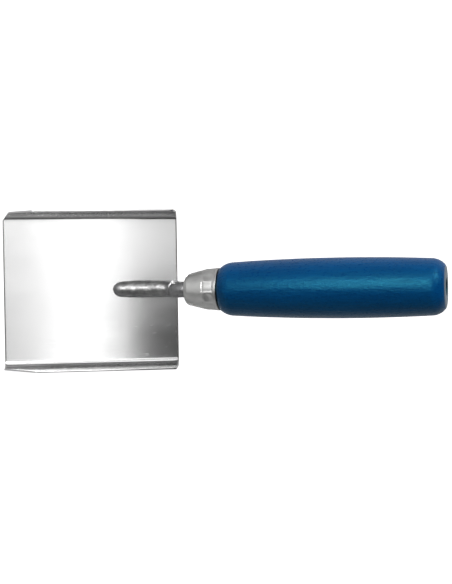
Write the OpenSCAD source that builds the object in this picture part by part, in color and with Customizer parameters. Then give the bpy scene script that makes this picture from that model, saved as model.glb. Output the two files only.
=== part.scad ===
// Small U-shaped plastering trowel: folded steel blade, cranked steel tang,
// crimped metal ferrule and turned wooden handle. Millimetres, +Z up.
// The origin is the middle of the blade's underside, +X points to the handle.

/* [Blade] */
// Length of the blade along the pulling direction
blade_len = 90; // [60:1:140]
// Outside width of the blade at its rear edge, by the handle
rear_w = 80; // [50:0.5:120]
// Outside width of the blade at its front edge
front_w = 81.8; // [50:0.1:122]
// Thickness of the steel sheet
sheet_t = 1.0; // [0.6:0.1:2]
// Inside radius of the two folds
fold_r = 3.4; // [1.5:0.1:8]
// Height of the turned-up sides above the sole
side_h = 28; // [15:0.5:45]
// Length of the slanted cut at the front of each side
nose_cut = 19.2; // [0:0.2:35]
// How far that cut has run back where it leaves the left fold
fold_cut = 4.2; // [0:0.1:10]
// Lean of the left side's rear end
left_setback = 0.6; // [0:0.1:3]
// Lean of the right side's rear end
right_setback = 0.2; // [0:0.1:3]

/* [Tang] */
// Diameter of the bar that the tang is forged from
rod_d = 8; // [5:0.1:12]
// X of the rounded front end of the welded foot
foot_front = 11.6; // [-20:0.2:30]
// Width of the foot at its rounded front end
foot_w = 7.9; // [5:0.1:12]
// Width of the foot where it is widest
foot_belly_w = 8.9; // [5:0.1:14]
// X where the foot is widest
foot_belly_x = 28; // [10:0.5:40]
// Height of the foot above the blade near its front end
foot_h = 5.2; // [3:0.1:8]
// Height of the foot above the blade at the crank
foot_heel_h = 7.4; // [5:0.1:9]
// Radius of the foot's domed top
foot_dome_r = 4.7; // [4:0.1:8]
// Gap that the projection welds leave under the foot
weld_gap = 0.2; // [0.1:0.05:0.5]
// Height of the round bar above the level of the foot's flat underside
rod_lift = 0.15; // [0.05:0.05:1]
// X of the upright part of the crank
riser_x = 44.9; // [30:0.1:60]
// Centreline radius of the lower bend
low_bend_r = 7; // [5:0.5:15]
// Centreline radius of the upper bend
top_bend_r = 6; // [4.5:0.5:15]
// Length of the tang inside the ferrule and handle
tang_depth = 56; // [30:1:100]
// Length of the taper at the tang's hidden end
tang_point = 14; // [5:1:30]
// Diameter of the hidden end
tang_tip_d = 4.5; // [2:0.5:8]

/* [Welds] */
// Diameter of each projection weld
weld_d = 4.5; // [2:0.5:7]
// X of the first weld
weld_first_x = 17; // [5:0.5:30]
// Distance between welds
weld_pitch = 9.5; // [5:0.5:15]
// Number of welds
weld_count = 3; // [2:1:4]

/* [Ferrule] */
// X of the ferrule's nose on the handle axis
nose_x = 50.2; // [40:0.1:70]
// Height of the handle axis above the sole at the nose
nose_z = 38; // [25:0.5:60]
// Upward tilt of the handle axis, degrees
handle_tilt = 13.5; // [0:0.5:30]
// Radius of the rounded nose
nose_r = 3.3; // [1:0.1:6]
// Outside radius where the cone would start at the nose plane
cone_r0 = 7.35; // [5:0.05:12]
// Distance from the nose to the end of the cone
cone_len = 11.4; // [6:0.1:20]
// Outside radius at the end of the cone
cone_r1 = 10.12; // [6:0.05:15]
// Distance from the nose to the ferrule's rear rim
ferrule_len = 17.3; // [10:0.1:30]
// Outside radius at the rear rim
rim_r = 10.5; // [7:0.05:16]
// Wall thickness of the ferrule
ferrule_t = 0.9; // [0.5:0.1:1.5]
// Number of crimp dents round the ferrule
crimp_count = 6; // [3:1:8]
// Distance from the nose to the middle of the dents
crimp_s = 13.2; // [5:0.1:15]
// Turn of the ring of dents about the handle axis, degrees
crimp_turn = 8; // [0:1:30]
// Radius of the punch that makes the dents
crimp_punch_r = 7.5; // [3:0.1:10]
// Depth of each dent
crimp_depth = 0.5; // [0.1:0.05:0.7]

/* [Handle] */
// Distance from the ferrule nose to the handle's shoulder
shoulder_s = 17.6; // [10:0.1:30]
// Distance from the ferrule nose to the butt
butt_s = 127.3; // [80:0.1:180]
// Largest radius of the handle
belly_r = 14.7; // [10:0.1:20]
// Distance from the ferrule nose to the thickest place
belly_s = 78; // [40:1:120]
// Radius of the long arc that shapes the belly
belly_arc = 930; // [200:10:2000]
// Radius that rounds the front shoulder
shoulder_arc = 9.6; // [3:0.1:12]
// Length of the rounded front shoulder
shoulder_len = 6.4; // [2:0.1:12]
// Radius that rounds the butt
butt_arc = 8.4; // [3:0.1:12]
// Length of the rounding at the butt
butt_round = 6.6; // [2:0.1:12]
// Diameter of the hole in the butt
peg_hole_d = 8.2; // [4:0.1:12]
// Depth of the hole in the butt
peg_hole_depth = 30; // [5:1:60]
// Distance from the ferrule nose to the front of the tenon
tenon_s = 3.6; // [1:0.1:8]
// Clearance between tenon and ferrule
tenon_gap = 0.12; // [0:0.01:0.5]

/* [Adhesive] */
// Thickness of the adhesive round the tang
glue_t = 0.25; // [0.1:0.05:1]

/* [Hidden] */
$fn = 96;
eps = 0.01;
round_proud = 0.012;
reach = 20;
mid_half = (rear_w + front_w) / 4;
side_taper = atan((front_w - rear_w) / 2 / blade_len);
fold_out = fold_r + sheet_t;
rod_r = rod_d / 2;
bend_r = rod_r + 0.03;
lap = 0.4;
foot_z = sheet_t + weld_gap;
rod_z = foot_z + rod_lift + rod_r;
low_bend_x = riser_x - low_bend_r;
top_run = (nose_x - riser_x - top_bend_r * (1 - sin(handle_tilt))) / cos(handle_tilt);
top_bend_z = nose_z - top_run * sin(handle_tilt) - top_bend_r * cos(handle_tilt);
shank_len = top_run + tang_depth - tang_point;
foot_end_r = foot_w / 2 + 0.05;
foot_arc = 165;
foot_heel_w = 4;
foot_heel_len = 4.4;
foot_rise = atan((foot_heel_h - foot_h) / (low_bend_x - foot_front - foot_end_r));
neck_len = 7;
neck_r = 2.4;
cone_slope = (cone_r1 - cone_r0) / cone_len;
nose_mid_r = cone_r0 + nose_r * (cone_slope - sqrt(1 + cone_slope * cone_slope));
bore_r = rod_r + glue_t;
bore_end = tang_depth + 1;
tenon_r0 = cone_r0 + tenon_s * cone_slope - ferrule_t - tenon_gap - 0.35;
tenon_r1 = cone_r1 - ferrule_t - tenon_gap - 0.05;
tenon_r2 = rim_r - ferrule_t - tenon_gap;
front_s = shoulder_s + shoulder_len;
rear_s = butt_s - butt_round;
front_lean = asin((front_s - belly_s) / belly_arc);
rear_lean = asin((rear_s - belly_s) / belly_arc);

// Places a body of revolution on the tilted handle axis, its Z = 0 at the nose
module on_handle_axis() {
    translate([nose_x, 0, nose_z]) rotate([0, 90 - handle_tilt, 0]) children();
}

// Half of the folded sheet's cross-section, from the middle to the left side
module side_profile() {
    translate([-1, 0]) square([mid_half - fold_out + 1, sheet_t]);
    translate([mid_half - fold_out, fold_out]) intersection() {
        difference() {
            circle(r = fold_out);
            circle(r = fold_r);
        }
        translate([0, -fold_out]) square([fold_out, fold_out]);
    }
    translate([mid_half - sheet_t, fold_out]) square([sheet_t, side_h - fold_out]);
}

module folded_half() {
    rotate([0, 0, -side_taper]) translate([-blade_len, 0, 0])
        rotate([90, 0, 90]) linear_extrude(2 * blade_len) side_profile();
}

// Slanted cut across the front upper corner of one side
module nose_cutter(start) {
    slope = (nose_cut - start) / (side_h - fold_out);
    rotate([90, 0, 0]) linear_extrude(reach, center = true)
        polygon([
            [-blade_len / 2 - reach, fold_out],
            [-blade_len / 2 + start, fold_out],
            [-blade_len / 2 + nose_cut + slope, side_h + 1],
            [-blade_len / 2 - reach, side_h + 1]
        ]);
}

// The left cut carries on through the fold
module fold_cutter() {
    translate([0, 0, -1]) linear_extrude(side_h + 2)
        polygon([
            [-blade_len / 2 - reach, front_w / 2 - fold_out],
            [-blade_len / 2, front_w / 2 - fold_out],
            [-blade_len / 2 + fold_cut, front_w / 2],
            [-blade_len / 2 + 2 * fold_cut, front_w / 2 + fold_out],
            [-blade_len / 2 - reach, front_w / 2 + fold_out]
        ]);
}

module rear_cutter(setback) {
    rotate([90, 0, 0]) linear_extrude(reach, center = true)
        polygon([
            [blade_len / 2, fold_out],
            [blade_len / 2 + reach, fold_out],
            [blade_len / 2 + reach, side_h + 1],
            [blade_len / 2 - setback, side_h + 1]
        ]);
}

// Stainless sheet folded to a shallow U, open at the front and the rear
module blade() {
    color([0.78, 0.79, 0.80])
    difference() {
        intersection() {
            union() {
                folded_half();
                mirror([0, 1, 0]) folded_half();
            }
            translate([-blade_len / 2, -front_w, -1]) cube([blade_len, 2 * front_w, side_h + 2]);
        }
        translate([0, front_w / 2, 0]) nose_cutter(fold_cut);
        translate([0, -front_w / 2, 0]) nose_cutter(0);
        fold_cutter();
        translate([0, rear_w / 2, 0]) rear_cutter(left_setback);
        translate([0, -rear_w / 2, 0]) rear_cutter(right_setback);
    }
}

// Plan of the welded foot: rounded front, bellied sides and a tapered heel
module foot_plan() {
    intersection() {
        translate([foot_belly_x, foot_belly_w / 2 - foot_arc]) circle(r = foot_arc);
        translate([foot_belly_x, foot_arc - foot_belly_w / 2]) circle(r = foot_arc);
        union() {
            translate([foot_front + foot_end_r, 0]) circle(r = foot_end_r);
            polygon([
                [foot_front + foot_end_r, -foot_end_r],
                [foot_front + 2 * foot_end_r, -rod_d],
                [low_bend_x, -rod_d],
                [low_bend_x + foot_heel_len, -foot_heel_w / 2],
                [low_bend_x + foot_heel_len, foot_heel_w / 2],
                [low_bend_x, rod_d],
                [foot_front + 2 * foot_end_r, rod_d],
                [foot_front + foot_end_r, foot_end_r]
            ]);
        }
    }
}

// Round-topped bar with a rounded front end, lying along +Z
module dome_bar() {
    rotate_extrude() union() {
        intersection() {
            circle(r = foot_dome_r);
            translate([0, -foot_dome_r]) square([foot_dome_r, foot_dome_r]);
        }
        square([foot_dome_r, 2 * reach]);
    }
}

module foot() {
    intersection() {
        translate([0, 0, foot_z]) linear_extrude(2 * rod_d) foot_plan();
        translate([foot_front + foot_dome_r, 0, foot_z + foot_h - foot_dome_r])
            rotate([0, 90 - foot_rise, 0]) dome_bar();
    }
}

// Steel bar: flat-bottomed foot, upright crank, then a straight shank
module tang() {
    color([0.45, 0.46, 0.47])
    union() {
        foot();
        translate([low_bend_x - neck_len, 0, rod_z]) rotate([0, 90, 0])
            cylinder(r1 = neck_r, r2 = bend_r, h = neck_len);
        translate([low_bend_x, 0, rod_z + low_bend_r]) rotate([90, 0, 0]) rotate([0, 0, -90])
            rotate_extrude(angle = 90) translate([low_bend_r, 0]) circle(r = bend_r);
        translate([riser_x, 0, rod_z + low_bend_r - lap])
            cylinder(r = rod_r, h = top_bend_z - rod_z - low_bend_r + 2 * lap);
        translate([riser_x + top_bend_r, 0, top_bend_z]) rotate([90, 0, 0]) rotate([0, 0, 90 + handle_tilt])
            rotate_extrude(angle = 90 - handle_tilt) translate([top_bend_r, 0]) circle(r = bend_r);
        on_handle_axis() translate([0, 0, -top_run - lap]) cylinder(r = rod_r, h = shank_len + lap);
        on_handle_axis() translate([0, 0, tang_depth - tang_point])
            cylinder(r1 = rod_r, r2 = tang_tip_d / 2, h = tang_point);
    }
}

// Projection welds that hold the foot to the blade
module weld_nuggets() {
    color([0.35, 0.36, 0.38])
    for (i = [0 : weld_count - 1])
        translate([weld_first_x + i * weld_pitch, 0, sheet_t]) cylinder(d = weld_d, h = weld_gap);
}

// Solid outline of the ferrule, inset by the given amount
module ferrule_outline(inset) {
    translate([nose_mid_r, nose_r]) circle(r = nose_r - inset);
    translate([0, inset]) square([nose_mid_r, 2 * nose_r - inset]);
    polygon([
        [0, nose_r],
        [cone_r0 + nose_r * cone_slope - inset, nose_r],
        [cone_r1 - inset, cone_len],
        [rim_r - inset, ferrule_len + inset],
        [0, ferrule_len + inset]
    ]);
}

// Outside radius of the ferrule at distance s from its nose, behind the rounded nose
function ferrule_r(s) = s < cone_len ? cone_r0 + s * cone_slope
    : cone_r1 + (s - cone_len) * (rim_r - cone_r1) / (ferrule_len - cone_len);

// Pressed metal cap over the handle's tenon, dented all round by the crimping tool
module ferrule() {
    color([0.72, 0.72, 0.72])
    on_handle_axis() difference() {
        rotate_extrude() intersection() {
            difference() {
                ferrule_outline(0);
                ferrule_outline(ferrule_t);
                square([rod_r + eps, ferrule_t + 1]);
            }
            square([2 * rim_r, ferrule_len]);
        }
        for (i = [0 : crimp_count - 1])
            rotate([0, 0, (i + 0.5) * 360 / crimp_count - crimp_turn])
                translate([ferrule_r(crimp_s) + crimp_punch_r - crimp_depth, 0, crimp_s])
                    sphere(r = crimp_punch_r);
    }
}

function belly(s) = belly_r - belly_arc + sqrt(belly_arc * belly_arc - (s - belly_s) * (s - belly_s));

// Rounding arc that meets the belly near distance s
module rounding(s, lean, r) {
    translate([belly(s) + round_proud - r * cos(lean), s - r * sin(lean)]) circle(r = r);
}

// Half section of the turned body, without its tenon
module body_section() {
    intersection() {
        translate([belly_r - belly_arc, belly_s]) circle(r = belly_arc, $fn = 360);
        translate([0, shoulder_s]) square([2 * belly_r, butt_s - shoulder_s]);
        union() {
            rounding(front_s, front_lean, shoulder_arc);
            square([rod_r, butt_s]);
            translate([0, front_s]) square([2 * belly_r, butt_s]);
        }
        union() {
            rounding(rear_s, rear_lean, butt_arc);
            square([rod_r, 2 * butt_s]);
            square([2 * belly_r, rear_s]);
        }
    }
}

// Turned handle with a tenon inside the ferrule, a bore for the tang and a hole in the butt
module handle() {
    color([0.04, 0.30, 0.52])
    on_handle_axis() rotate_extrude() difference() {
        union() {
            polygon([
                [0, tenon_s],
                [tenon_r0, tenon_s],
                [tenon_r1, cone_len],
                [tenon_r2, shoulder_s],
                [tenon_r2, shoulder_s + 2],
                [0, shoulder_s + 2]
            ]);
            body_section();
        }
        square([bore_r, bore_end]);
        translate([0, butt_s - peg_hole_depth]) square([peg_hole_d / 2, peg_hole_depth + 1]);
    }
}

// Cured adhesive that fills the bore round the tang
module tang_adhesive() {
    color([0.80, 0.74, 0.58])
    on_handle_axis() difference() {
        translate([0, 0, tenon_s]) cylinder(r = bore_r, h = bore_end - tenon_s);
        cylinder(r = rod_r, h = tang_depth - tang_point);
        translate([0, 0, tang_depth - tang_point])
            cylinder(r1 = rod_r, r2 = tang_tip_d / 2, h = tang_point);
    }
}

blade();
tang();
weld_nuggets();
ferrule();
handle();
tang_adhesive();
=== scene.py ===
import math
import random

import bmesh
import bpy
from mathutils import Matrix, Vector, noise


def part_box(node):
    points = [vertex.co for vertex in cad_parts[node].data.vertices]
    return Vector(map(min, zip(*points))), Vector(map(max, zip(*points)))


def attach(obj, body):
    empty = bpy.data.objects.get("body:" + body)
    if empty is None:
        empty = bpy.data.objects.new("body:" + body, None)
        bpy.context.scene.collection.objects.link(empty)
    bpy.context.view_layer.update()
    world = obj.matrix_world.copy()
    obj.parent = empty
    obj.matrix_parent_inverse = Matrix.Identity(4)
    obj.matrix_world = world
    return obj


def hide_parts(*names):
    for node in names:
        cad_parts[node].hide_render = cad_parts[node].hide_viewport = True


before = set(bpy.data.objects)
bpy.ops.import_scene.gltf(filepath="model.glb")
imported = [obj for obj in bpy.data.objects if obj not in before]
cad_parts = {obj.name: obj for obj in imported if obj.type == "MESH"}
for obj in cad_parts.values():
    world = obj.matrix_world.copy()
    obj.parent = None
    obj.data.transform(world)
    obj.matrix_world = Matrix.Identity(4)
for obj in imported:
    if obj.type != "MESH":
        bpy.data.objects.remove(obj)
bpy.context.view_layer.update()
MM = 0.001

# ---------------------------------------------------------------- sizes read from the frame
blade_lo, blade_hi = (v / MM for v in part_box("blade"))
tang_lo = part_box("tang")[0] / MM

# ---------------------------------------------------------------- sizes the part's source states, in mm
# the sheet, the inside radius of its folds, its widths, and how far the side flaps are cut back
SHEET_T = 1.0
FOLD_R = 3.4
FRONT_W, REAR_W = 81.8, 80.0
NOSE_CUT, FOLD_CUT = 19.2, 4.2
SETBACK = {1: 0.6, -1: 0.2}
# the bar's radius, its radius on the lower bend, and the level of its middle over the sole
ROD_R, BEND_R = 4.0, 4.03
ROD_Z = 5.35
# where the upright part of the crank stands, and the centreline radii of its two bends
RISER_X = 44.9
LOW_R, TOP_R = 7.0, 6.0
# the handle's axis: its tilt, and the middle of the ferrule's nose; every s is a distance along it from there
TILT = math.radians(13.5)
NOSE = Vector((50.2, 0, 38.0))
# where the tang ends, the length of its point and the radius of its tip
TANG_DEPTH, POINT_LEN, TIP_R = 56.0, 14, 2.25
# the ferrule
CONE_R0, CONE_R1, CONE_LEN = 7.35, 10.12, 11.4
FERRULE_LEN, RIM_R, FERRULE_T, NOSE_R = 17.3, 10.5, 0.9, 3.3
CRIMP_COUNT, CRIMP_S, CRIMP_TURN, CRIMP_DEPTH = 6, 13.2, math.radians(8), 0.50
# the handle's two ends, its belly, the rounding at each end, the peg hole and the bore for the tang
SHOULDER_S, BUTT_S = 17.6, 127.3
BELLY_R, BELLY_S, BELLY_ARC = 14.7, 78.0, 930.0
SHOULDER_ARC, SHOULDER_LEN = 9.6, 6.4
BUTT_ARC, BUTT_ROUND = 8.4, 6.6
HOLE_R, HOLE_DEPTH = 4.1, 30.0
BORE_R = 4.25

# ---------------------------------------------------------------- the visual model's own sizes, in mm
# steps around each bend, along the upright bar and along the tang
BEND_STEPS, RISER_STEPS, AXIS_STEPS = 24, 50, 89
# reach of a crimp around and along the ferrule, and depth of the flat between two crimps
CRIMP_W, CRIMP_LEN, FLAT_DEPTH = 2.75, 3.0, 0.28
# the tenon inside the ferrule: its front end, and its radius at the end of the cone and at the shoulder
TENON_S, TENON_R1, TENON_R2 = 3.65, 8.9, 9.42

AXIS = Vector((math.cos(TILT), 0, math.sin(TILT)))
AXIS_FRAME = Matrix.Translation(NOSE * MM) @ Matrix.Rotation(math.pi / 2 - TILT, 4, "Y")
# how fast the ferrule's cone widens, and the radius at which its nose arc is centred
SLOPE = (CONE_R1 - CONE_R0) / CONE_LEN
NOSE_MID = CONE_R0 + NOSE_R * (SLOPE - math.sqrt(1 + SLOPE * SLOPE))


def smooth(a, b, x):
    """0 below a, 1 above b and an S curve between them."""
    t = min(max((x - a) / (b - a), 0.0), 1.0)
    return t * t * (3 - 2 * t)


def mix(a, b, t):
    return a + (b - a) * t


def new_object(name, verts, faces, matrix=Matrix.Identity(4), flat_angle=35):
    mesh = bpy.data.meshes.new(name)
    mesh.from_pydata([matrix @ (Vector(v) * MM) for v in verts], [], faces)
    bm = bmesh.new()
    bm.from_mesh(mesh)
    bmesh.ops.remove_doubles(bm, verts=bm.verts, dist=1e-7)
    bmesh.ops.recalc_face_normals(bm, faces=bm.faces)
    for f in bm.faces:
        f.smooth = True
    limit = math.radians(flat_angle)
    for e in bm.edges:
        if len(e.link_faces) == 2 and e.calc_face_angle(0) > limit:
            e.smooth = False
    bm.to_mesh(mesh)
    bm.free()
    obj = bpy.data.objects.new(name, mesh)
    bpy.context.scene.collection.objects.link(obj)
    return obj


def apply_modifiers(obj):
    deps = bpy.context.evaluated_depsgraph_get()
    mesh = bpy.data.meshes.new_from_object(obj.evaluated_get(deps))
    obj.modifiers.clear()
    obj.data = mesh


# ---------------------------------------------------------------- blade
def blade_half(x):
    """Half of the blade's outside width at x."""
    return mix(FRONT_W, REAR_W, (x - blade_lo.x) / (blade_hi.x - blade_lo.x)) / 2


def build_blade():
    """The folded sheet as a grid on its middle surface, given its thickness afterwards.

    Each column runs from front to back, and is a side, a part of the sheet and how far across that part it is.
    """
    mid_r = FOLD_R + SHEET_T / 2
    out_r = FOLD_R + SHEET_T
    arc = mid_r * math.pi / 2
    height = blade_hi.z - out_r
    steps = [("plate", i / 30) for i in range(31)]
    steps += [("fold", (i + 1) / 10) for i in range(10)]
    steps += [("side", (i + 1) / 14 * 0.93) for i in range(14)]
    steps += [("side", t) for t in (0.95, 0.965, 0.98, 0.99, 1.0)]
    cols = [(-1, *s) for s in reversed(steps[1:])] + [(1, *s) for s in steps]
    rows, corner, wave = 96, 1.3, 0.02
    verts, faces = [], []
    for side, part, t in cols:
        cut, back = 0.0, 0.0
        if part == "fold" and side > 0:
            cut = FOLD_CUT * t
        if part == "side":
            start = FOLD_CUT if side > 0 else 0.0
            cut = mix(start, NOSE_CUT, t)
            back = SETBACK[side] * t
            drop = (1 - t) * height
            if drop < corner:
                back += corner - math.sqrt(corner ** 2 - (corner - drop) ** 2)
        x0, x1 = blade_lo.x + cut, blade_hi.x - back
        for k in range(rows + 1):
            x = mix(x0, x1, k / rows)
            half = blade_half(x)
            flat = half - out_r
            n = noise.noise(Vector((x / 34, side * t * 2.1 if part == "plate" else 3, 1.7)))
            if part == "plate":
                y, z = flat * t, SHEET_T / 2 + wave / 2 * (n + 1) * (1 - t)
            elif part == "fold":
                a = t * math.pi / 2
                y, z = flat + mid_r * math.sin(a), out_r - mid_r * math.cos(a)
            else:
                y, z = half - SHEET_T / 2 - wave * (n + 1) * smooth(0, 1, t), out_r + height * t
            verts.append((x, side * y, z))
    n_cols = len(cols)
    for c in range(n_cols - 1):
        for k in range(rows):
            a = c * (rows + 1) + k
            faces.append((a, a + 1, a + rows + 2, a + rows + 1))
    obj = new_object("blade_sheet", verts, faces)
    solid = obj.modifiers.new("sheet", "SOLIDIFY")
    solid.thickness = SHEET_T * MM
    solid.offset = 0
    solid.use_even_offset = True
    bevel = obj.modifiers.new("deburr", "BEVEL")
    bevel.width = 0.14 * MM
    bevel.segments = 2
    bevel.limit_method = "ANGLE"
    bevel.angle_limit = math.radians(50)
    apply_modifiers(obj)
    for p in obj.data.polygons:
        p.use_smooth = True
    return obj


# ---------------------------------------------------------------- tang
def rounding(d, length):
    """Grows from almost 0 to 1 along a quarter circle of this length."""
    return math.sqrt(max(1 - (1 - min(d / length, 1)) ** 2, 0.0004))


def tang_stations():
    """Stations along the bar's axis.

    Each is (point, normal, half width, low, top, level of the widest place, boxiness below).
    """
    out = []
    # the foot, welded to the blade: its rounded tip, its plan, its top and its widest place, from front to back
    x_front, x_bend, step = tang_lo.x, RISER_X - LOW_R, 0.35
    tip_top, tip_side = 4.6, 3.9
    belly_w, belly_x, belly_curve = 4.45, 28.0, 330
    top_front, top_back = 6.35, 7.3
    waist_front, waist_back, waist_bend = -2.9, -2.3, -0.2
    boxy, oval = 6, 2.3
    end_w = 4.12
    low = tang_lo.z - ROD_Z
    n = int((x_bend - x_front) / step)
    for i in range(n):
        x = mix(x_front + 0.02, x_bend, i / n)
        d = x - x_front
        half_w = (belly_w - (x - belly_x) ** 2 / belly_curve) * rounding(d, tip_side)
        rise = smooth(24, x_bend, x)
        full_top = mix(top_front, top_back, smooth(14, 30, x)) - ROD_Z
        full_top = mix(full_top, BEND_R, smooth(27, x_bend + 1, x))
        waist = mix(mix(waist_front, waist_back, smooth(14, 28, x)), waist_bend, rise)
        top = waist + (full_top - waist) * rounding(d, tip_top)
        out.append((Vector((x, 0, ROD_Z)), Vector((0, 0, 1)), half_w, low, top, waist, mix(boxy, oval, rise)))
    # the lower bend, whose underside leaves the foot's level over its first quarter
    z0 = ROD_Z + LOW_R
    centre = Vector((x_bend, 0, z0))
    for i in range(BEND_STEPS + 1):
        a = math.pi / 2 * i / BEND_STEPS
        p = centre + LOW_R * Vector((math.sin(a), 0, -math.cos(a)))
        t = i / BEND_STEPS
        under = mix(low, -BEND_R, min(4 * t, 1))
        half_w = mix(end_w, ROD_R, smooth(0, 0.5, t))
        waist = waist_bend * (1 - t)
        out.append((p, (centre - p).normalized(), half_w, under, BEND_R, waist, mix(oval, 2.0, t)))
    # the upright bar, then the upper bend
    to_nose = (NOSE.x - RISER_X - TOP_R * (1 - math.sin(TILT))) / math.cos(TILT)
    top_z = NOSE.z - to_nose * math.sin(TILT) - TOP_R * math.cos(TILT)
    for i in range(1, RISER_STEPS):
        p = Vector((RISER_X, 0, mix(z0, top_z, i / RISER_STEPS)))
        out.append((p, Vector((-1, 0, 0)), ROD_R, -ROD_R, ROD_R, 0.0, 2.0))
    centre = Vector((RISER_X + TOP_R, 0, top_z))
    turn = math.pi / 2 - TILT
    for i in range(BEND_STEPS + 1):
        a = turn * i / BEND_STEPS
        p = centre + TOP_R * Vector((-math.cos(a), 0, math.sin(a)))
        out.append((p, (p - centre).normalized(), ROD_R, -ROD_R, ROD_R, 0.0, 2.0))
    # the tang inside the handle, with its point
    start, up = out[-1][:2]
    length = (NOSE + AXIS * TANG_DEPTH - start).length
    for i in range(1, AXIS_STEPS + 1):
        d = length * i / AXIS_STEPS
        left = length - d
        r = ROD_R if left > POINT_LEN else mix(TIP_R, ROD_R, left / POINT_LEN)
        out.append((start + AXIS * d, up, r, -r, r, 0.0, 2.0))
    return out


def build_tang():
    ring = 72
    verts, faces = [], []
    stations = tang_stations()
    for i, (p, up, half_w, low, top, waist, box) in enumerate(stations):
        for k in range(ring):
            a = 2 * math.pi * k / ring
            c, s = math.cos(a), math.sin(a)
            if s >= 0:
                y, n = half_w * c, waist + (top - waist) * s
            else:
                e = 2 / box
                y = half_w * math.copysign(abs(c) ** e, c)
                n = waist + (low - waist) * abs(s) ** e
            q = p + Vector((0, y, 0)) + up * n
            # dents of the forging, only where the bar can be seen
            if q.x < NOSE.x + 1 and s > -0.2:
                outward = (Vector((0, y / max(half_w, 0.1), 0)) + up * max(s, 0)).normalized()
                d = 0.10 * noise.noise(q / 3.1) + 0.05 * noise.noise(q / 1.1 + Vector((9, 2, 5)))
                q = q + outward * (d - 0.03)
            verts.append(tuple(q))
    for i in range(len(stations) - 1):
        for k in range(ring):
            a, b = i * ring + k, i * ring + (k + 1) % ring
            faces.append((a, b, b + ring, a + ring))
    faces.append(tuple(range(ring)))
    last = (len(stations) - 1) * ring
    faces.append(tuple(last + k for k in range(ring)))
    return new_object("tang_bar", verts, faces, flat_angle=50)


# ---------------------------------------------------------------- turned pieces
def lathe(name, profile, ring, shape):
    """A solid turned about the handle's axis. profile is a closed loop of (radius, distance along the axis)."""
    verts, faces = [], []
    for j, (r, s) in enumerate(profile):
        for k in range(ring):
            a = 2 * math.pi * k / ring
            q = Vector((r * math.cos(a), r * math.sin(a), s))
            verts.append(tuple(shape(q, r, s, a, j)))
    n = len(profile)
    for j in range(n):
        for k in range(ring):
            a, b = j * ring + k, j * ring + (k + 1) % ring
            c, d = ((j + 1) % n) * ring + (k + 1) % ring, ((j + 1) % n) * ring + k
            faces.append((a, b, c, d))
    return new_object(name, verts, faces, AXIS_FRAME, 40)


def turn_between(a, b):
    """The angle from b to a, between minus pi and pi."""
    return math.atan2(math.sin(a - b), math.cos(a - b))


def ferrule_wall(s):
    """Outside radius of the ferrule, s from its nose plane."""
    cone = CONE_R0 + SLOPE * s
    if s > CONE_LEN:
        return mix(CONE_R1, RIM_R, (s - CONE_LEN) / (FERRULE_LEN - CONE_LEN))
    if s < NOSE_R * 0.77:
        return min(cone, NOSE_MID + math.sqrt(max(NOSE_R ** 2 - (NOSE_R - s) ** 2, 0)))
    return cone


def build_ferrule():
    outer = []
    for i in range(15):
        a = math.pi / 2 * i / 14 * 0.86
        outer.append((NOSE_MID + NOSE_R * math.sin(a), NOSE_R - NOSE_R * math.cos(a)))
    lip = [(ROD_R + 0.06, 0.35), (ROD_R + 0.2, 0.1), (ROD_R + 0.5, 0.0)]
    outer = lip + [p for p in outer if p[0] > ROD_R + 0.7]
    s = outer[-1][1] + 0.2
    while s < FERRULE_LEN - 0.35:
        outer.append((ferrule_wall(s), s))
        s += 0.18
    rim = ferrule_wall(FERRULE_LEN)
    outer += [(rim - 0.01, FERRULE_LEN - 0.3), (rim - 0.06, FERRULE_LEN - 0.12), (rim - 0.2, FERRULE_LEN)]
    n_outer = len(outer)
    inner = [(rim - FERRULE_T, FERRULE_LEN)]
    s = FERRULE_LEN - 0.6
    while s > 2.6:
        inner.append((ferrule_wall(s) - FERRULE_T - 0.02, s))
        s -= 0.6
    inner += [(ferrule_wall(1.5) - FERRULE_T - 0.3, 1.5), (ROD_R + 0.6, 0.95), (ROD_R + 0.06, 0.9)]

    def dents(q, r, s, a, j):
        """Scoops left by the crimping jaws, with a flat pressed on the land between each pair."""
        if j >= n_outer:
            return q
        pull = 0.0
        for i in range(CRIMP_COUNT):
            mid = (i + 0.5) * 2 * math.pi / CRIMP_COUNT - CRIMP_TURN
            away = turn_between(a, mid) * r
            d = math.sqrt((away / CRIMP_W) ** 2 + ((s - CRIMP_S) / CRIMP_LEN) ** 2)
            pull = max(pull, CRIMP_DEPTH * (1 - smooth(0.15, 1.0, d)))
            land = turn_between(a, mid + math.pi / CRIMP_COUNT) * r
            across = 1 - smooth(2.1, CRIMP_W, abs(land))
            along = smooth(CRIMP_S - 3.4, CRIMP_S - 2.7, s) * (1 - smooth(CRIMP_S + 2.3, CRIMP_S + 2.9, s))
            pull = max(pull, FLAT_DEPTH * across * along)
        pull += 0.03 * (noise.noise(Vector((math.cos(a) * 2.5, math.sin(a) * 2.5, s / 4))) + 1)
        return Vector((q.x * (r - pull) / r, q.y * (r - pull) / r, q.z))

    return lathe("ferrule_cap", outer + inner, 180, dents)


def belly(s):
    return BELLY_R - BELLY_ARC + math.sqrt(BELLY_ARC ** 2 - (s - BELLY_S) ** 2)


def end_arc(s, start, arc):
    """Radius on the arc that rounds an end of the handle, tangent to the belly at start."""
    lean = math.asin((start - BELLY_S) / BELLY_ARC)
    cr, cs = belly(start) - arc * math.cos(lean), start - arc * math.sin(lean)
    return cr + math.sqrt(max(arc ** 2 - (s - cs) ** 2, 0))


def handle_wall(s):
    """Outside radius of the handle, s from the ferrule's nose plane."""
    r = belly(s)
    front, rear = SHOULDER_S + SHOULDER_LEN, BUTT_S - BUTT_ROUND
    if s < front:
        r = min(r, end_arc(s, front, SHOULDER_ARC))
    if s > rear:
        r = min(r, end_arc(s, rear, BUTT_ARC))
    return r


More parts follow.
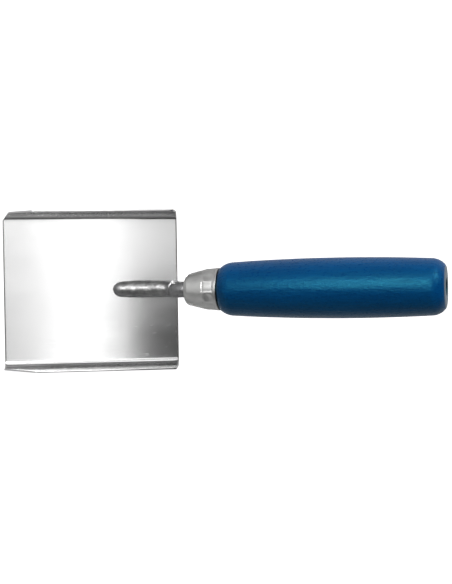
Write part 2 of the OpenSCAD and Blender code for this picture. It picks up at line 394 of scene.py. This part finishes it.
def build_handle():
    outer = [(TENON_R1, CONE_LEN), (TENON_R2, SHOULDER_S)]
    face = handle_wall(SHOULDER_S + 0.02)
    outer += [(face - 0.35, SHOULDER_S), (face - 0.08, SHOULDER_S + 0.06)]
    s = SHOULDER_S + 0.3
    while s < BUTT_S - 0.5:
        outer.append((handle_wall(s), s))
        s += 0.3 if (s < 26 or s > 117) else 0.7
    end = handle_wall(BUTT_S)
    outer += [(handle_wall(BUTT_S - 0.35), BUTT_S - 0.35), (end - 0.1, BUTT_S - 0.1), (end - 0.5, BUTT_S)]
    outer += [(7.5, BUTT_S), (6.0, BUTT_S)]
    outer += [(HOLE_R + 0.55, BUTT_S - 0.02), (HOLE_R + 0.2, BUTT_S - 0.14), (HOLE_R + 0.03, BUTT_S - 0.5)]
    inner = [(HOLE_R, BUTT_S - 6), (HOLE_R, BUTT_S - HOLE_DEPTH + 0.5), (0.02, BUTT_S - HOLE_DEPTH)]
    inner += [(0.02, TANG_DEPTH + 1), (BORE_R, TANG_DEPTH + 1), (BORE_R, 30), (BORE_R, TENON_S)]
    tenon = [(6.6, TENON_S), (7.6, 6.0)]
    dice = random.Random(11)
    # each nick has a place along the axis, an angle, a length, a width and a depth
    limits = ((30, 122), (0, 2 * math.pi), (0.6, 1.6), (0.3, 0.5), (0.08, 0.16))
    nicks = [tuple(dice.uniform(*pair) for pair in limits) for _ in range(26)]

    def surface(q, r, s, a, j):
        if r < 10 or s < SHOULDER_S or s > BUTT_S - 0.3:
            return q
        p = Vector((math.cos(a) * r / 3.2, math.sin(a) * r / 3.2, s / 26))
        d = 0.05 * (noise.noise(p) - 1)
        p = Vector((math.cos(a) * r / 0.9, math.sin(a) * r / 0.9, s / 9))
        d += 0.012 * (noise.noise(p) - 1)
        for ns, na, length, width, depth in nicks:
            away = turn_between(a, na) * r
            k = (away / width) ** 2 + ((s - ns) / length) ** 2
            if k < 1:
                d -= depth * (1 - k)
        return Vector((q.x * (r + d) / r, q.y * (r + d) / r, q.z))

    return lathe("handle_body", outer + inner + tenon, 288, surface)


# ---------------------------------------------------------------- material helpers
class Nodes:
    """A material and short ways to add nodes to its tree."""

    def __init__(self, name):
        self.mat = bpy.data.materials.new(name)
        self.mat.use_nodes = True
        self.tree = self.mat.node_tree
        self.tree.nodes.clear()
        out = self.tree.nodes.new("ShaderNodeOutputMaterial")
        self.bsdf = self.tree.nodes.new("ShaderNodeBsdfPrincipled")
        self.link(self.bsdf.outputs["BSDF"], out.inputs["Surface"])

    def link(self, a, b):
        self.tree.links.new(a, b)

    def coords(self):
        return self.tree.nodes.new("ShaderNodeTexCoord").outputs["Object"]

    def parts(self, vector):
        n = self.tree.nodes.new("ShaderNodeSeparateXYZ")
        self.link(vector, n.inputs["Vector"])
        return n.outputs

    def mapping(self, vector, scale=(1, 1, 1), rotate=(0, 0, 0), move=(0, 0, 0)):
        n = self.tree.nodes.new("ShaderNodeMapping")
        n.inputs["Scale"].default_value = scale
        n.inputs["Rotation"].default_value = rotate
        n.inputs["Location"].default_value = move
        self.link(vector, n.inputs["Vector"])
        return n.outputs["Vector"]

    def axis_coords(self):
        """Object coordinates with Z along the handle's axis, from the ferrule's nose."""
        back = AXIS_FRAME.inverted()
        return self.mapping(self.coords(), rotate=tuple(back.to_euler()), move=tuple(back.to_translation()))

    def noise(self, vector, scale, detail=4, rough=0.55, distort=0.0):
        n = self.tree.nodes.new("ShaderNodeTexNoise")
        n.inputs["Scale"].default_value = scale
        n.inputs["Detail"].default_value = detail
        n.inputs["Roughness"].default_value = rough
        n.inputs["Distortion"].default_value = distort
        self.link(vector, n.inputs["Vector"])
        return n.outputs["Fac"]

    def ramp(self, value, *stops):
        n = self.tree.nodes.new("ShaderNodeValToRGB")
        els = n.color_ramp.elements
        while len(els) < len(stops):
            els.new(0.5)
        for e, (pos, col) in zip(els, stops):
            e.position = pos
            e.color = (*col, 1)
        self.link(value, n.inputs["Fac"])
        return n.outputs["Color"]

    def span(self, value, a, b, c, d):
        """Maps a to b onto c to d and stops there."""
        n = self.tree.nodes.new("ShaderNodeMapRange")
        n.inputs["From Min"].default_value = a
        n.inputs["From Max"].default_value = b
        n.inputs["To Min"].default_value = c
        n.inputs["To Max"].default_value = d
        self.link(value, n.inputs["Value"])
        return n.outputs["Result"]

    def math(self, op, a, b=None):
        n = self.tree.nodes.new("ShaderNodeMath")
        n.operation = op
        for i, v in enumerate((a, b)):
            if v is None:
                continue
            if isinstance(v, (int, float)):
                n.inputs[i].default_value = v
            else:
                self.link(v, n.inputs[i])
        return n.outputs[0]

    def blend(self, fac, a, b):
        n = self.tree.nodes.new("ShaderNodeMix")
        n.data_type = "RGBA"
        ins = {i.identifier: i for i in n.inputs}
        for key, v in (("Factor_Float", fac), ("A_Color", a), ("B_Color", b)):
            if isinstance(v, (int, float)):
                ins[key].default_value = v
            elif isinstance(v, tuple):
                ins[key].default_value = (*v, 1)
            else:
                self.link(v, ins[key])
        return [o for o in n.outputs if o.identifier == "Result_Color"][0]

    def bump(self, height, strength, distance, before=None):
        n = self.tree.nodes.new("ShaderNodeBump")
        n.inputs["Strength"].default_value = strength
        n.inputs["Distance"].default_value = distance
        self.link(height, n.inputs["Height"])
        if before is not None:
            self.link(before, n.inputs["Normal"])
        return n.outputs["Normal"]

    def set(self, **values):
        for key, v in values.items():
            socket = self.bsdf.inputs[key.replace("_", " ")]
            if isinstance(v, (int, float)):
                socket.default_value = v
            elif isinstance(v, tuple):
                socket.default_value = (*v, 1)
            else:
                self.link(v, socket)


def steel_sheet():
    m = Nodes("satin_stainless")
    p = m.coords()
    grain = m.noise(m.mapping(p, scale=(60, 2600, 2600)), 1.0, 3, 0.6)
    cloud = m.noise(p, 28, 4, 0.6)
    smear = m.noise(m.mapping(p, scale=(20, 60, 60)), 1.0, 5, 0.65, 0.8)
    scratch = m.noise(m.mapping(p, scale=(300, 4200, 4200), rotate=(0, 0, 0.35)), 1.0, 1, 0.4)
    lines = m.span(scratch, 0.735, 0.78, 0, 1)
    tone = m.math("ADD", m.math("MULTIPLY", cloud, 0.6), m.math("MULTIPLY", grain, 0.4))
    colour = m.ramp(tone, (0.3, (0.74, 0.74, 0.74)), (0.7, (0.79, 0.79, 0.79)))
    rough = m.math("ADD", m.span(smear, 0.3, 0.7, 0.15, 0.18), m.math("MULTIPLY", lines, 0.15))
    m.set(Base_Color=colour, Metallic=1.0, Roughness=rough)
    m.set(Normal=m.bump(lines, 0.06, 0.00003, m.bump(grain, 0.02, 0.00001)))
    return m.mat


def forged_steel():
    m = Nodes("forged_steel")
    p = m.coords()
    blotch = m.noise(p, 320, 5, 0.6, 0.4)
    fine = m.noise(p, 1500, 3, 0.6)
    scale_tone = m.ramp(blotch, (0.3, (0.20, 0.20, 0.205)), (0.7, (0.34, 0.34, 0.345)))
    ground_highlight_tone = m.ramp(blotch, (0.36, (0.27, 0.27, 0.27)), (0.62, (0.46, 0.46, 0.46)))
    # the top of the foot is ground bright, with a painted highlight laid over it, lighter toward the top and
    # the +Y side that faces the light: above a level, behind its tip and up to where the bar turns upwards
    above, behind, bend = (0.0061, 0.0067), (0.0150, 0.0185), (0.0370, 0.0400)
    where = m.parts(p)
    level = m.math("ADD", where["Z"], m.span(blotch, 0.3, 0.7, -0.0003, 0.0003))
    # painted highlight: tilting the level toward +Y lightens the side of the foot that faces the lamps
    level = m.math("ADD", level, m.math("MULTIPLY", where["Y"], 0.35))
    level = m.math("ADD", level, m.span(where["X"], 0.014, 0.030, 0.0009, 0))
    ground_and_highlight = m.math("MULTIPLY", m.span(level, *above, 0, 1), m.span(where["X"], *bend, 1, 0))
    ground_and_highlight = m.math("MULTIPLY", ground_and_highlight, m.span(where["X"], *behind, 0.25, 1))
    blotch = m.math("ADD", m.math("MULTIPLY", blotch, 0.5), m.math("MULTIPLY", fine, 0.5))
    colour = m.blend(ground_and_highlight, scale_tone, ground_highlight_tone)
    rough = m.blend(ground_and_highlight, m.span(blotch, 0.3, 0.7, 0.46, 0.38), m.span(blotch, 0.3, 0.7, 0.40, 0.32))
    m.set(Base_Color=colour, Metallic=1.0, Roughness=rough)
    m.set(Normal=m.bump(fine, 0.4, 0.00012, m.bump(blotch, 0.4, 0.00025)))
    return m.mat


def ferrule_metal():
    m = Nodes("ferrule_metal")
    p = m.axis_coords()
    patch = m.noise(m.mapping(p, scale=(260, 260, 120)), 1.0, 4, 0.6)
    fine = m.noise(m.mapping(p, scale=(900, 900, 300)), 1.0, 3, 0.6)
    colour = m.ramp(patch, (0.3, (0.50, 0.50, 0.495)), (0.7, (0.63, 0.63, 0.62)))
    m.set(Base_Color=colour, Metallic=1.0, Roughness=m.span(patch, 0.3, 0.7, 0.42, 0.36))
    m.set(Normal=m.bump(fine, 0.12, 0.00004))
    return m.mat


def blue_lacquer():
    """Blue lacquer over turned wood, with painted shade in the joint and in the hole, thin and pale on the
    butt's end.
    """
    m = Nodes("lacquered_wood")
    p = m.axis_coords()
    grain = m.noise(m.mapping(p, scale=(900, 900, 45)), 1.0, 5, 0.6, 0.3)
    speck = m.noise(m.mapping(p, scale=(1000, 1000, 480)), 1.0, 3, 0.65)
    cloud = m.noise(m.mapping(p, scale=(60, 60, 25)), 1.0, 3, 0.5)
    tone = m.math("ADD", m.math("MULTIPLY", grain, 0.55), m.math("MULTIPLY", cloud, 0.45))
    deep, middling, light = (0.0008, 0.080, 0.310), (0.0010, 0.115, 0.405), (0.003, 0.155, 0.500)
    paint = m.ramp(tone, (0.30, deep), (0.52, middling), (0.75, light))
    where = m.parts(p)
    along = where["Z"]
    # a painted shadow line in the joint behind the ferrule, a pale ring on the butt's end, and painted shade
    # inside the hole
    # painted shadow: the lacquer turns near black just behind the shoulder, where the ferrule's rim shades the
    # joint
    joint_shadow = m.span(along, (SHOULDER_S + 0.3) * MM, (SHOULDER_S + 0.9) * MM, 0, 1)
    paint = m.blend(joint_shadow, (0.0008, 0.010, 0.028), paint)
    across = m.math("SQRT", m.math("ADD", m.math("POWER", where["X"], 2), m.math("POWER", where["Y"], 2)))
    end = m.span(along, (BUTT_S - 0.5) * MM, (BUTT_S - 0.1) * MM, 0, 0.9)
    end = m.math("MULTIPLY", end, m.span(speck, 0.35, 0.6, 0.5, 1))
    paint = m.blend(end, paint, (0.34, 0.40, 0.42))
    # painted shade: the inside of the peg hole is painted near black
    hole_shade = m.span(across, (HOLE_R + 0.1) * MM, (HOLE_R + 0.4) * MM, 1, 0)
    hole_shade = m.math("MULTIPLY", hole_shade, m.span(along, 90 * MM, 92 * MM, 0, 1))
    paint = m.blend(hole_shade, paint, (0.010, 0.016, 0.026))
    m.set(Base_Color=paint, Roughness=m.span(speck, 0.35, 0.65, 0.38, 0.25))
    m.set(Specular_Tint=(0.10, 0.76, 0.92), Specular_IOR_Level=0.60)
    m.set(Normal=m.bump(speck, 0.7, 0.00028, m.bump(grain, 0.30, 0.00020)))
    return m.mat


def resin():
    m = Nodes("cured_resin")
    p = m.coords()
    tone = m.noise(p, 400, 4, 0.6)
    colour = m.ramp(tone, (0.3, (0.50, 0.42, 0.26)), (0.7, (0.66, 0.58, 0.40)))
    m.set(Base_Color=colour, Roughness=m.span(tone, 0.3, 0.7, 0.45, 0.6))
    m.set(Normal=m.bump(tone, 0.2, 0.0001))
    return m.mat


def pale_floor():
    m = Nodes("pale_floor")
    p = m.coords()
    tone = m.noise(p, 3, 3, 0.5)
    colour = m.ramp(tone, (0.3, (0.90, 0.90, 0.90)), (0.7, (0.93, 0.93, 0.93)))
    m.set(Base_Color=colour, Roughness=0.9, Emission_Color=(1.0, 1.0, 1.0), Emission_Strength=1.0)
    return m.mat


def dress(obj, mat):
    obj.data.materials.clear()
    obj.data.materials.append(mat)


# ---------------------------------------------------------------- the pieces
steel, forged, cap, lacquer, glue = steel_sheet(), forged_steel(), ferrule_metal(), blue_lacquer(), resin()
for build, node, mat, slot in (
    (build_blade, "blade", steel, "blade_steel"),
    (build_tang, "tang", forged, "forged_steel"),
    (build_ferrule, "ferrule", cap, "ferrule_metal"),
    (build_handle, "handle", lacquer, "lacquered_wood"),
):
    piece = build()
    dress(piece, mat)
    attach(piece, "root")
    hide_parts(node)
for node, mat in (("weld_nuggets", forged), ("tang_adhesive", glue)):
    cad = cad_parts[node]
    if not cad.data.materials:
        cad.data.materials.append(mat)
    for s in cad.material_slots:
        s.material = mat


# ---------------------------------------------------------------- floor, light and camera
def stage_object(name, bm):
    mesh = bpy.data.meshes.new(name)
    bm.to_mesh(mesh)
    bm.free()
    obj = bpy.data.objects.new(name, mesh)
    bpy.context.scene.collection.objects.link(obj)
    return obj


def plane(name, size, location):
    bm = bmesh.new()
    bmesh.ops.create_grid(bm, x_segments=8, y_segments=8, size=0.5)
    obj = stage_object(name, bm)
    obj.scale = (size[0], size[1], 1)
    obj.location = location
    return obj


def round_wall(name, radius, height):
    bm = bmesh.new()
    bmesh.ops.create_cone(bm, cap_ends=False, segments=96, radius1=radius, radius2=radius, depth=height)
    return stage_object(name, bm)


# the camera sees the floor and the backdrop, and reflections see the dimmer ground further down
floor = plane("floor", (14, 14), (0.07, 0, -0.0005))
backdrop = round_wall("backdrop", 6.5, 8)
pale = pale_floor()
for stage in (floor, backdrop):
    stage.data.materials.append(pale)
    stage.visible_diffuse = False
    stage.visible_glossy = False
backdrop.visible_shadow = False


def soft_light(name, location, target, size, watts):
    data = bpy.data.lights.new(name, "AREA")
    data.shape = "RECTANGLE"
    data.size, data.size_y = size
    data.energy = watts
    obj = bpy.data.objects.new(name, data)
    obj.location = location
    obj.rotation_euler = (Vector(target) - Vector(location)).to_track_quat("-Z", "Y").to_euler()
    bpy.context.scene.collection.objects.link(obj)
    return obj


def card(name, size, location, grey):
    """A plain stiff card that only reflections and light see."""
    obj = plane(name, size, location)
    m = Nodes(name)
    tone = m.noise(m.coords(), 4, 2, 0.5)
    m.set(Base_Color=m.ramp(tone, (0.3, (grey,) * 3), (0.7, (grey * 1.2,) * 3)), Roughness=0.9)
    obj.data.materials.append(m.mat)
    obj.visible_camera = False


def glow(name, size, location, level):
    """A faintly glowing ground that only gloss sees, dimmer than the floor that the camera sees."""
    obj = plane(name, size, location)
    m = Nodes(name)
    tone = m.span(m.parts(m.coords())["Y"], -0.05, 0.05, 0, 1)
    m.set(Base_Color=(0, 0, 0), Emission_Color=m.ramp(tone, (0.0, (level * 0.7,) * 3), (1.0, (level,) * 3)))
    m.set(Emission_Strength=1.0, Specular_IOR_Level=0.0)
    obj.data.materials.append(m.mat)
    obj.visible_camera = False
    obj.visible_diffuse = False


def radiance(size, level):
    """Watts that give a rectangular area light this radiance."""
    return level * size[0] * size[1] * math.pi


# each light has a place, a target, a size and a radiance, and is seen by reflections only or lights paint too
middle = (0.06, 0, 0.03)
for name, location, target, size, level, lights_paint in (
    ("core", (-0.148, 0.0, 1.5), (-0.148, 0, 0), (0.10, 0.75), 1.55, True),
    ("key", (-0.78, 1.02, 3.0), (-0.78, 1.02, 0), (0.32, 1.10), 32.0, False),
    ("key_left", (-1.24, 1.10, 3.0), (-1.24, 1.10, 0), (0.56, 1.10), 3.2, False),
    ("near_dim", (0.0, -1.3, 1.3), middle, (2.2, 0.9), 0.16, False),
    ("left_back", (-1.4, 1.3, 0.5), middle, (1.6, 0.9), 0.65, False),
    ("left_near", (-1.4, -1.3, 0.5), middle, (1.6, 0.9), 0.45, False),
    ("wide", (-0.10, 0.20, 1.62), (-0.10, 0.20, 0), (0.9, 0.95), 0.64, True),
    ("side", (0.25, 1.05, 1.15), middle, (1.5, 0.8), 1.1, True),
    ("fill", (1.0, 1.15, 1.1), middle, (0.9, 0.7), 4.6, True),
    ("front", (-1.75, 0.35, 1.30), middle, (2.2, 1.3), 0.75, False),
    ("low", (0.0, -1.8, 0.55), middle, (2.6, 0.8), 0.32, False),
    ("low_back", (0.0, 1.9, 0.30), middle, (2.6, 0.5), 0.40, False),
):
    lamp = soft_light(name, location, target, size, radiance(size, level))
    lamp.visible_diffuse = lights_paint
card("grey_card", (0.12, 0.20), (0.047, -0.102, 0.40), 0.26)
glow("ground_glow", (4, 4), (0.07, 0, -0.001), 0.58)

world = bpy.data.worlds.new("studio")
world.use_nodes = True
sky = world.node_tree.nodes["Background"]
sky.inputs["Color"].default_value = (1, 1, 1, 1)
sky.inputs["Strength"].default_value = 0.05
bpy.context.scene.world = world
bpy.context.scene.view_settings.view_transform = "Standard"

# the camera looks down from an assumed height of 750 mm, rolled a little to match the photo
ROLL = math.radians(0.93)
cam_data = bpy.data.cameras.new("camera")
cam_data.lens = 89.25
cam = bpy.data.objects.new("camera", cam_data)
bpy.context.scene.collection.objects.link(cam)
eye, aim = Vector((69.94, 14.7, 750.0)) * MM, Vector((69.94, -2.4, 0.0)) * MM
forward = (aim - eye).normalized()
up = Vector((math.sin(ROLL), math.cos(ROLL), 0))
right = forward.cross(up).normalized()
up = right.cross(forward)
cam.matrix_world = Matrix.Translation(eye) @ Matrix((right, up, -forward)).transposed().to_4x4()
bpy.context.scene.camera = cam
